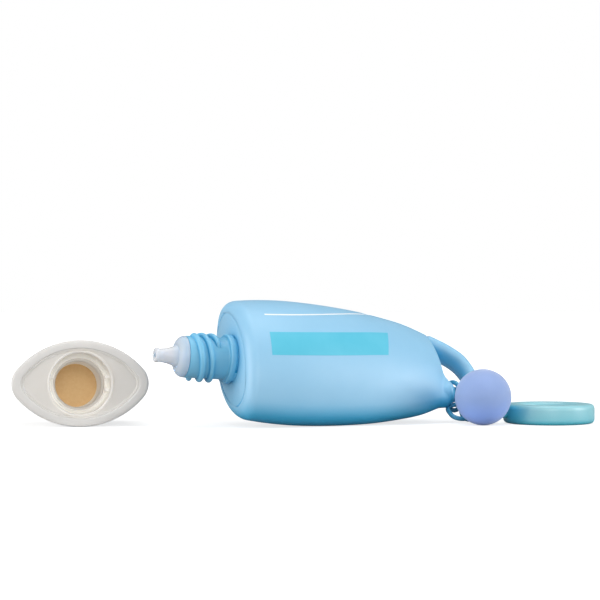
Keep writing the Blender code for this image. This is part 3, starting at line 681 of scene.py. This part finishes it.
def makeBottle():
    bm = bmesh.new()
    hidden = bodyInside() + neckOutside()
    skin(bm, hidden + faceAndFlank())
    bmesh.ops.recalc_face_normals(bm, faces=bm.faces)
    bar = bmesh.new()
    loopBar(bar)
    for mesh in (bm, bar):
        mesh.verts.ensure_lookup_table()
        mesh.normal_update()
    trees = BVHTree.FromBMesh(bm), BVHTree.FromBMesh(bar)
    tail = [vert for vert in bm.verts[len(hidden) * lensCount:]
            if vert.co.z < -body["length"] + loop["tailReach"]]
    moves = blendSurfaces(tail, trees[1], lambda at: ramp(-at.x / loop["sideFade"])
                          * ramp(1 + (-body["length"] - at.z) / loop["tailFade"]))
    moves += blendSurfaces(bar.verts, trees[0], lambda at: ramp(-at.x / loop["sideFade"]))
    for vert, move in moves:
        vert.co += move
    tools = [addPiece("loop", bar, finish["bottleBlue"])]
    for name, build in (("thread", bothRidges), ("stop", stopLug)):
        tool = bmesh.new()
        build(tool)
        tools.append(addPiece(name, tool, finish["bottleBlue"]))
    piece = addPiece("bottleBody", bm, finish["bottleBlue"])
    joinSolids(piece, tools)
    softenJoint(piece.data, trees)
    piece.data.transform(bottleMatrix)
    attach(piece, "bottle")
    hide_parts("bottle_body")


# printed marks on the flank that faces the picture: a colour block and a fine rule
mark = {"raised": 0.00004, "sunk": 0.00006,
        "block": (((0.00881, -0.00185), (0.03194, -0.00001), (0.05854, 0.00530)),
                  ((0.00855, -0.01097), (0.03087, -0.00987), (0.05574, -0.00607))),
        "rule": (((0.00911, 0.00765), (0.03200, 0.01050), (0.05680, 0.01960)),
                 ((0.00911, 0.00695), (0.03200, 0.00980), (0.05680, 0.01890)))}


def flankPoint(at, across, lift):
    share = at / body["length"]
    width = body["halfWidth"] * smoothCurve(body["at"], body["width"], share)
    depth = body["halfDepth"] * smoothCurve(body["at"], body["depth"], share)
    flankRadius, drop = lensArcs(width, depth, depth * body["tipShare"])[1:3]
    high = math.sqrt(flankRadius ** 2 - across ** 2)
    return Vector((across * (1 + lift / flankRadius), drop - high * (1 + lift / flankRadius), -at))


def edgePoint(points, t):
    weights = ((1 - t) * (1 - 2 * t), 4 * t * (1 - t), t * (2 * t - 1))
    return [sum(w * point[axis] for w, point in zip(weights, points)) for axis in (0, 1)]


def makeMark(name, edges, material, long=64, wide=16):
    rings = []
    for k in range(long + 1):
        first, second = (edgePoint(edge, k / long) for edge in edges)
        ring = []
        for lift, order in ((mark["raised"], range(wide + 1)), (-mark["sunk"], range(wide, -1, -1))):
            for j in order:
                at, across = (first[axis] + (second[axis] - first[axis]) * j / wide for axis in (0, 1))
                ring.append(flankPoint(at, across, lift))
        rings.append(ring)
    bm = bmesh.new()
    skin(bm, rings)
    piece = addPiece(name, bm, material, bottleMatrix)
    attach(piece, "bottle")
    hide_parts("bottle_body")


makeBottle()
# painted shade on the neck
paintShadeAlongNeck(finish["bottleBlue"], neck["shade"])
makeMark("printedBlock", mark["block"], finish["printTeal"])
makeMark("printedRule", mark["rule"], finish["printWhite"])
print("bottle made")

# dropper plug in the neck
plug = {"flange": 0.0074, "flangeTop": 0.0209, "rim": 0.0002, "coneBase": 0.0040, "tip": 0.0025,
        "tipNeck": 0.0024, "tipHeight": 0.0288, "lip": 0.0006, "orifice": 0.0009, "channel": 0.0036,
        "stemDepth": 0.0090, "slack": 0.0004, "bead": 0.0004, "seatGap": 0.00006, "sides": 96,
        "edge": 0.0002, "orificeEdge": 0.0005, "domeSteps": 12, "coneSteps": 12,
        # painted shade and tint: the plug's flange and lower dome are multiplied by a blue tone, standing in
        # for the neck seen through them
        "shade": {"tone": (0.66, 0.83, 0.98), "from": 0.0236, "to": 0.0190}}


def makePlug():
    stem = neck["bore"] - plug["slack"] - plug["bead"]
    seat = neck["height"] + plug["seatGap"]
    foot = seat - plug["stemDepth"]
    cone = plug["tipHeight"] - plug["flangeTop"]
    bead, lip, edge = plug["bead"], plug["lip"], plug["edge"]
    corners = [(stem, foot, bead / 2), (stem, foot + bead * 2, bead), (stem + bead, foot + bead * 4, bead),
               (stem, foot + bead * 6, bead), (stem, seat, 0), (plug["flange"], seat, edge),
               (plug["flange"], seat + plug["rim"], 0)]
    rise, out = plug["flangeTop"] - seat - plug["rim"], plug["flange"] - plug["coneBase"]
    for k in range(1, plug["domeSteps"]):
        turn = math.pi / 2 * k / plug["domeSteps"]
        corners.append((plug["coneBase"] + out * math.cos(turn),
                        seat + plug["rim"] + rise * math.sin(turn), 0))
    for k in range(plug["coneSteps"] + 1):
        share = k / plug["coneSteps"]
        flare = (1 - share) ** 2
        corners.append((plug["tipNeck"] + (plug["coneBase"] - plug["tipNeck"]) * flare,
                        plug["flangeTop"] + (cone - lip * 3) * share, 0))
    top = plug["tipHeight"]
    corners += [(plug["tip"], top - lip * 2, lip / 2), (plug["tip"], top, lip * 0.6),
                (plug["orifice"], top, edge), (plug["orifice"], top - cone / 2, plug["orificeEdge"]),
                (plug["channel"], foot, edge)]
    bm = bmesh.new()
    skin(bm, turned(roundCorners(corners), plug["sides"]), closed=True)
    piece = addPiece("nozzlePlug", bm, finish["nozzleMilk"], bottleMatrix)
    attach(piece, "bottle")
    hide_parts("nozzle_plug")


makePlug()
# painted blue tint and shade on the plug's foot
paintShadeAlongNeck(finish["nozzleMilk"], plug["shade"])
print("plug made")

# cap: an outer shell, a screw insert with a raised boss, and a pressed liner
cap = {"halfWidth": 0.0246, "halfDepth": 0.0156, "tip": 0.0080, "depth": 0.0320, "wall": 0.0016,
       "end": 0.0015, "endRound": 0.0012, "lipRound": 0.0012, "rimWidth": 0.0036, "rimDepth": 0.0031,
       "rimRound": 0.0006, "ledge": 0.0043, "ledgeThick": 0.0015, "ledgeStep": 0.0004, "edge": 0.0003,
       "gate": ((0.0024, 0), (0.0021, 0.0003), (0.0007, 0.0004), (0.0006, 0.0001), (0.0002, 0.0001))}
insert = {"front": 0.0007, "boss": 0.0117, "bossBore": 0.0110, "setBack": 0.0004, "round": 0.0004,
          "moat": 0.0093, "back": 0.0130, "slack": 0.0002, "lip": 0.0007, "mouth": 0.0085, "wall": 0.0012,
          "depth": 0.0290, "keyWidth": 0.0014, "keyHeight": 0.0030, "keyAngles": (-12, 14, 166),
          "keyRound": 0.0002, "sunk": 0.0004, "rootSunk": 0.0003, "ridgeAngle": 150, "gap": 0.0003,
          "bead": 0.0080, "beadThick": 0.0012, "seatRound": 0.0001,
          "line": 0.0008, "lineRise": 0.0004, "lineSteps": 12, "linePower": 0.6}
liner = {"thick": 0.0008, "slack": 0.0009, "backRound": 0.0002, "frontRound": 0.0003, "centre": 0.0001,
         "sides": 96}
socketThread = {"root": neck["threadRadius"] + insert["slack"] + insert["rootSunk"], "crest": 0.0083,
                "toe": -0.0004, "start": 0.0100, "turns": 1.1, "across": 10, "power": 0.7}


def capSection(depth, insetWidth, insetDepth):
    draw = depth * math.tan(math.radians(capPose["draft"]))
    inset = min(insetWidth, insetDepth)
    return lens(cap["halfWidth"] - draw - insetWidth, cap["halfDepth"] - draw - insetDepth,
                cap["tip"] - draw - inset)


def makeCapShell():
    floor = cap["depth"] - cap["end"]
    under = cap["ledge"] + cap["ledgeThick"]
    rim = cap["rimDepth"]
    step = rim + cap["ledgeStep"]
    # depth behind the rim, inset across the narrow way, and the corner's radius
    corners = [(floor, cap["wall"], cap["edge"]), (under, cap["wall"], cap["edge"]),
               (under, step, cap["edge"]), (cap["ledge"], step, cap["edge"]),
               (cap["ledge"], rim, cap["edge"]), (0, rim, cap["rimRound"]), (0, 0, cap["lipRound"]),
               (cap["depth"], 0, cap["endRound"])]
    rings = []
    for depth, inset in roundCorners(corners, steps=8, closed=False):
        extra = (cap["rimWidth"] - rim) * min(1, max(0, (inset - cap["wall"]) / (rim - cap["wall"])))
        rings.append(level(capSection(depth, inset + extra, inset), -depth))
    rings += turned([(radius, lift - cap["depth"]) for radius, lift in cap["gate"]], lensCount)
    bm = bmesh.new()
    skin(bm, rings)
    piece = addPiece("capShell", bm, finish["capWhite"], capMatrix)
    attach(piece, "cap")
    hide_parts("cap_shell")


def keyBlock(bm, degrees, near, far):
    angle = math.radians(degrees)
    out = Vector((math.cos(angle), math.sin(angle), 0))
    side = Vector((-out.y, out.x, 0)) * (insert["keyWidth"] / 2)
    rings = []
    for depth in (insert["moat"] + insert["sunk"], insert["mouth"] - insert["keyHeight"]):
        rings.append([out * r + s - Vector((0, 0, depth))
                      for r, s in ((near, -side), (far, -side), (far, side), (near, side))])
    skin(bm, rings)
    bmesh.ops.bevel(bm, geom=bm.edges, offset=insert["keyRound"], segments=2, affect="EDGES", profile=0.5)


def makeCapInsert():
    bore = neck["threadRadius"] + insert["slack"]
    front = insert["front"]
    back = cap["ledge"] - insert["gap"]
    socket = bore + insert["wall"]
    turn = insert["round"]
    grip = insert["depth"] - insert["gap"] * 2 - liner["thick"]
    bead, thick = insert["bead"], insert["beadThick"]
    inside = [(bore, insert["depth"], turn), (bore, grip, insert["seatRound"]), (bead, grip, turn),
              (bead, grip - thick, turn), (bore, grip - thick * 2, turn),
              (bore, insert["mouth"], turn), (bore + insert["lip"], insert["mouth"], turn),
              (bore + insert["lip"], insert["moat"], turn), (insert["bossBore"], insert["moat"], turn),
              (insert["bossBore"], insert["setBack"], turn), (insert["boss"], insert["setBack"], turn),
              (insert["boss"], front, turn), (insert["boss"] + turn * 2, front, 0)]
    skirt = insert["back"] + insert["wall"]
    outside = [(insert["boss"] + turn, back, 0), (insert["boss"], skirt, turn), (socket, skirt, turn),
               (socket, insert["depth"] + insert["wall"], turn)]
    wide, narrow = cap["rimWidth"] + insert["gap"] / 3, cap["rimDepth"] + insert["gap"] / 3
    inside, outside = ([level(circle(r, lensCount), -d)
                        for r, d in roundCorners(corners, detail["cornerSteps"], closed=False)]
                       for corners in (inside, outside))
    # the panel's border rises to a fine line along the rim
    border = []
    for step in range(insert["lineSteps"], -1, -1):
        across = insert["line"] * step / insert["lineSteps"]
        rise = math.cos(math.pi / 2 * step / insert["lineSteps"]) ** insert["linePower"]
        border.append(level(capSection(0, wide + across, narrow + across), insert["lineRise"] * rise - front))
    border.append(level(capSection(0, wide, narrow), -back))
    bm = bmesh.new()
    skin(bm, inside + border + outside)
    piece = addPiece("capInsert", bm, finish["capIvory"])
    tools = []
    near, far = bore + insert["lip"] - insert["sunk"], insert["bossBore"] + insert["sunk"]
    for number, degrees in enumerate(insert["keyAngles"]):
        tool = bmesh.new()
        keyBlock(tool, degrees, near, far)
        tools.append(addPiece("key%d" % number, tool, finish["capIvory"]))
    for number, angle in enumerate(startAngles(insert["ridgeAngle"])):
        tool = bmesh.new()
        screwRidge(tool, socketThread, angle, -1)
        tools.append(addPiece("ridge%d" % number, tool, finish["capIvory"]))
    joinSolids(piece, tools)
    piece.data.transform(capMatrix)
    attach(piece, "cap")
    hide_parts("cap_insert")


def makeCapLiner():
    back = insert["depth"] - insert["gap"]
    front = back - liner["thick"]
    radius = neck["threadRadius"] + insert["slack"] - liner["slack"]
    corners = [(liner["centre"], back, 0), (radius, back, liner["backRound"]),
               (radius, front, liner["frontRound"]), (liner["centre"], front, 0)]
    bm = bmesh.new()
    skin(bm, [level(circle(r, liner["sides"]), -d)
              for r, d in roundCorners(corners, detail["cornerSteps"], closed=False)])
    piece = addPiece("capLiner", bm, finish["linerTan"], capMatrix)
    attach(piece, "cap")
    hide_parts("cap_liner")


makeCapShell()
makeCapInsert()
makeCapLiner()
print("cap made")

# chain of four round-wire links, then the ball and the ring on the last one
chain = {"wire": 0.0017, "play": 0.0004, "stretch": 0.0024, "hang": 0.727, "arc": 28, "sides": 20,
         "places": ((0.0077, -0.0121, -0.0698), (0.2253, -0.5845, -0.6173), (0.4863, -0.0947, 0.2366),
                    (0.6477, -0.291, -0.0608)),
         "turns": ((-1.628, 1.308, -0.987), (0.114, 0.454, -1.221), (1.689, -0.805, 0.499),
                   (1.507, 0.592, -0.657))}
linkBend = loop["radius"] + chain["play"] + chain["wire"] / 2


def linkMatrices():
    pitch = chain["stretch"] + 2 * (loop["radius"] + chain["play"])
    at = bottleMatrix @ loopPoint(chain["hang"])
    places = []
    for shares, turns in zip(chain["places"], chain["turns"]):
        at = at + Vector(shares) * pitch
        turn = Matrix.Rotation(turns[2], 4, "Z") @ Matrix.Rotation(turns[1], 4, "Y")
        places.append(Matrix.Translation(at) @ turn @ Matrix.Rotation(turns[0], 4, "X"))
    return places


def makeLinks(places):
    half = chain["stretch"] / 2
    path = []
    for side in (1, -1):
        for k in range(chain["arc"] + 1):
            turn = math.pi * (k / chain["arc"] - 1 / 2)
            path.append(Vector((side * (half + linkBend * math.cos(turn)),
                                side * linkBend * math.sin(turn), 0)))
    for number, place in enumerate(places, 1):
        bm = bmesh.new()
        wire = [chain["wire"] / 2] * len(path)
        bar(bm, path, Vector((0, 0, 1)), wire, wire, chain["sides"], closed=True)
        piece = addPiece("chainLink%d" % number, bm, finish["chainBlue"], place)
        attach(piece, "link_%d" % number)
        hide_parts("chain_link_%d" % number)


charmBall = {"radius": 0.0102, "eye": 0.0018, "eyeWire": 0.0012, "bearing": -111.5, "share": -0.2,
             "gap": 0.00067, "sides": 128}
charmRing = {"radius": 0.01675, "bore": 0.01055, "thick": 0.0072, "round": 0.0020, "eye": 0.0026,
             "eyeWire": 0.0014, "stand": 0.0028, "angle": 5, "bearing": 13, "sides": 160}


def eyeHoop(centre, first, second, radius, wire, steps=64, sides=20):
    bm = bmesh.new()
    ring = [centre + (first * math.cos(t) + second * math.sin(t)) * radius
            for t in (2 * math.pi * k / steps for k in range(steps))]
    half = [wire / 2] * steps
    bar(bm, ring, first.cross(second).normalized(), half, half, sides, closed=True)
    return bm


def makeBall(lastLink):
    radius = charmBall["radius"]
    hook = lastLink @ Vector((linkBend * charmBall["share"], linkBend, 0))
    reach = radius + charmBall["gap"] + chain["wire"] / 2
    levelReach = math.sqrt(reach ** 2 - (radius - hook.z) ** 2)
    bearing = math.radians(charmBall["bearing"])
    away = Vector((math.cos(bearing), math.sin(bearing), 0))
    centre = Vector((hook.x, hook.y, radius)) + away * levelReach
    bm = bmesh.new()
    sides = charmBall["sides"]
    bmesh.ops.create_uvsphere(bm, u_segments=sides, v_segments=sides // 2, radius=radius)
    bmesh.ops.translate(bm, verts=bm.verts, vec=centre)
    piece = addPiece("charmBall", bm, finish["ballLilac"])
    wireLine = (lastLink.to_3x3() @ Vector((1, 0, 0))).normalized()
    inward = (centre - hook).normalized()
    side = wireLine.cross(inward).normalized()
    eye = eyeHoop(hook, side.cross(wireLine), side, charmBall["eye"], charmBall["eyeWire"])
    joinSolids(piece, [addPiece("ballEye", eye, finish["ballLilac"])])
    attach(piece, "ball")
    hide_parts("charm_ball")


def makeRing(lastLink):
    angle, bearing = (math.radians(charmRing[key]) for key in ("angle", "bearing"))
    eye = lastLink @ Vector((chain["stretch"] / 2 + linkBend * math.cos(angle),
                             linkBend * math.sin(angle), 0))
    away = Vector((math.cos(bearing), math.sin(bearing), 0))
    centre = Vector((eye.x, eye.y, 0)) + away * (charmRing["radius"] + charmRing["stand"])
    outer, bore, thick, turn = (charmRing[key] for key in ("radius", "bore", "thick", "round"))
    corners = [(outer, 0, turn), (outer, thick, turn), (bore, thick, turn), (bore, 0, turn)]
    bm = bmesh.new()
    skin(bm, turned(roundCorners(corners, steps=10), charmRing["sides"]), closed=True)
    bmesh.ops.translate(bm, verts=bm.verts, vec=centre)
    piece = addPiece("charmRing", bm, finish["ringAqua"])
    hoop = eyeHoop(eye, away, Vector((0, 0, 1)).cross(away), charmRing["eye"], charmRing["eyeWire"])
    joinSolids(piece, [addPiece("ringEye", hoop, finish["ringAqua"])])
    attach(piece, "ring")
    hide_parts("charm_ring")


links = linkMatrices()
makeLinks(links)
makeBall(links[-1])
makeRing(links[-1])
print("chain and charms made")

# pale floor and soft lights; to the camera, the floor grows white away from the object
studio = {"floorSize": 12.0, "floorColor": (0.47, 0.47, 0.47), "floorRough": 0.9, "floorShine": 0.1,
          "near": 0.12, "far": 0.6, "liftNear": 0.72, "liftFar": 1.0, "world": 0.26,
          "lights": (("skyPanel", (0.0, 0.05, 1.1), (0.0, 0.0, 0.0), 1.0, 5.5, (1.0, 1.0, 1.0)),
                     ("frontPanel", (0.12, -1.27, 0.40), (-0.02, 0.0, 0.02), 0.6, 5.2, (1.0, 0.995, 0.985)),
                     ("leftPanel", (-1.1, -0.45, 0.34), (0.0, 0.0, 0.02), 0.9, 9.6, (1.0, 1.0, 1.0)),
                     ("rightPanel", (1.1, -0.25, 0.4), (0.0, 0.0, 0.02), 0.7, 7.2, (1.0, 1.0, 1.0)))}


def floorMaterial():
    material, tree, shader = startMaterial("paleTable")
    shader.inputs["Base Color"].default_value = (*studio["floorColor"], 1)
    shader.inputs["Roughness"].default_value = studio["floorRough"]
    shader.inputs["Specular IOR Level"].default_value = studio["floorShine"]
    place = addNode(tree, "ShaderNodeTexCoord", (-600, -300))
    away = addNode(tree, "ShaderNodeVectorMath", (-400, -300), operation="LENGTH")
    lift = addNode(tree, "ShaderNodeMapRange", (-200, -300),
                   {"From Min": studio["near"], "From Max": studio["far"], "To Min": studio["liftNear"],
                    "To Max": studio["liftFar"]})
    glow = addNode(tree, "ShaderNodeEmission", (0, -300))
    join(tree, place, "Object", away, 0)
    join(tree, away, "Value", lift, "Value")
    join(tree, lift, "Result", glow, "Strength")
    both = addNode(tree, "ShaderNodeAddShader", (300, -100))
    rays = addNode(tree, "ShaderNodeLightPath", (0, 400))
    seen = addNode(tree, "ShaderNodeMath", (300, 400), operation="MAXIMUM")
    mixed = addNode(tree, "ShaderNodeMixShader", (550, 100))
    join(tree, rays, "Is Camera Ray", seen, 0)
    join(tree, rays, "Is Transmission Ray", seen, 1)
    join(tree, seen, 0, mixed, 0)
    tree.links.new(shader.outputs[0], both.inputs[0])
    tree.links.new(glow.outputs[0], both.inputs[1])
    tree.links.new(shader.outputs[0], mixed.inputs[1])
    tree.links.new(both.outputs[0], mixed.inputs[2])
    tree.links.new(mixed.outputs[0], tree.nodes["Material Output"].inputs["Surface"])
    return material


def makeStudio():
    half = studio["floorSize"] / 2
    bm = bmesh.new()
    corners = ((-half, -half), (half, -half), (half, half), (-half, half))
    bm.faces.new([bm.verts.new((x, y, 0)) for x, y in corners])
    mesh = bpy.data.meshes.new("table")
    bm.to_mesh(mesh)
    bm.free()
    mesh.materials.append(floorMaterial())
    table = bpy.data.objects.new("table", mesh)
    bpy.context.scene.collection.objects.link(table)
    world = bpy.data.worlds.new("studioAir")
    bpy.context.scene.world = world
    world.use_nodes = True
    tree = world.node_tree
    tree.nodes.clear()
    rays = addNode(tree, "ShaderNodeLightPath", (-600, 0))
    seen = addNode(tree, "ShaderNodeMath", (-300, 0), operation="MAXIMUM")
    strength = addNode(tree, "ShaderNodeMapRange", (0, 0), {"To Min": studio["world"], "To Max": 1.0})
    air = addNode(tree, "ShaderNodeBackground", (200, 0), {"Color": (1, 1, 1, 1)})
    out = addNode(tree, "ShaderNodeOutputWorld", (400, 0))
    join(tree, rays, "Is Camera Ray", seen, 0)
    join(tree, rays, "Is Transmission Ray", seen, 1)
    join(tree, seen, 0, strength, "Value")
    join(tree, strength, "Result", air, "Strength")
    join(tree, air, 0, out, 0)
    for name, place, target, size, power, tint in studio["lights"]:
        lamp = bpy.data.lights.new(name, "AREA")
        lamp.shape = "DISK"
        lamp.size = size
        lamp.energy = power
        lamp.color = tint
        light = bpy.data.objects.new(name, lamp)
        light.location = place
        light.rotation_euler = (Vector(target) - Vector(place)).to_track_quat("-Z", "Y").to_euler()
        bpy.context.scene.collection.objects.link(light)
    bpy.context.scene.view_settings.view_transform = "Standard"


makeStudio()
print("studio made")
